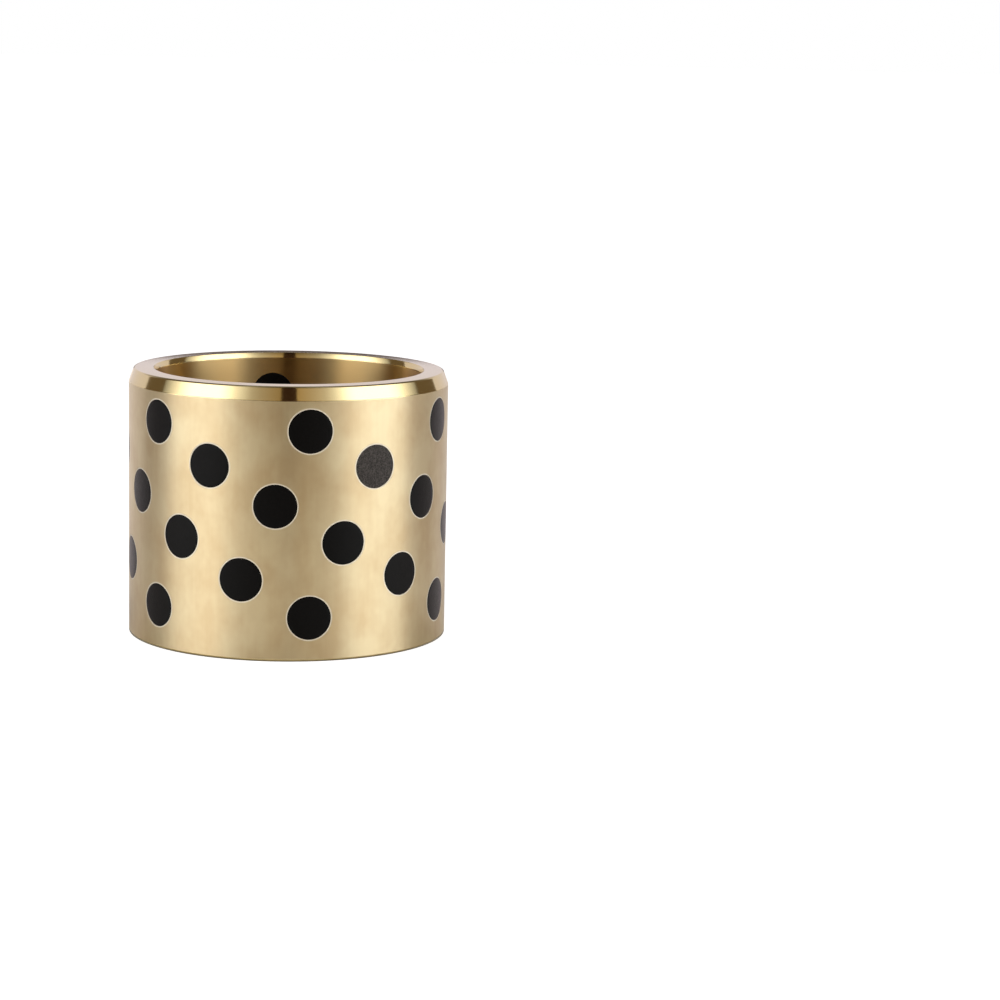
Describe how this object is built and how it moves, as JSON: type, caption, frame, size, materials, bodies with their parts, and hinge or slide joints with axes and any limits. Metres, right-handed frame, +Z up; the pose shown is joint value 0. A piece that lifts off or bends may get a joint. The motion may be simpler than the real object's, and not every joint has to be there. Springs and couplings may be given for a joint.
{
  "type": "graphite plugged bushing",
  "caption": "Plain cylindrical bronze sleeve bushing with graphite plugs set through its wall in staggered rows, self-lubricating, with lead-ins at one end.",
  "frame": {"origin": "centre of the sleeve's lower end face, on the bore axis", "axes": "+Z up along the bore axis towards the end with the lead-ins; the first plug of the top row lies on -Y"},
  "size_m": [0.06, 0.06, 0.05],
  "materials": {
    "bronze": "fine turned and burnished high strength brass alloy, bare",
    "graphite": "matte dark graphite, turned flush with the sleeve"
  },
  "bodies": {
    "root": {"sleeve": "bronze", "graphite_plug_a1": "graphite", "graphite_plug_a2": "graphite", "graphite_plug_a3": "graphite", "graphite_plug_a4": "graphite", "graphite_plug_a5": "graphite", "graphite_plug_a6": "graphite", "graphite_plug_b1": "graphite", "graphite_plug_b2": "graphite", "graphite_plug_b3": "graphite", "graphite_plug_b4": "graphite", "graphite_plug_b5": "graphite", "graphite_plug_b6": "graphite", "graphite_plug_c1": "graphite", "graphite_plug_c2": "graphite", "graphite_plug_c3": "graphite", "graphite_plug_c4": "graphite", "graphite_plug_c5": "graphite", "graphite_plug_c6": "graphite", "graphite_plug_d1": "graphite", "graphite_plug_d2": "graphite", "graphite_plug_d3": "graphite", "graphite_plug_d4": "graphite", "graphite_plug_d5": "graphite", "graphite_plug_d6": "graphite", "graphite_plug_e1": "graphite", "graphite_plug_e2": "graphite", "graphite_plug_e3": "graphite", "graphite_plug_e4": "graphite", "graphite_plug_e5": "graphite", "graphite_plug_e6": "graphite", "graphite_plug_f1": "graphite", "graphite_plug_f2": "graphite", "graphite_plug_f3": "graphite", "graphite_plug_f4": "graphite", "graphite_plug_f5": "graphite", "graphite_plug_f6": "graphite"}
  },
  "joints": []
}
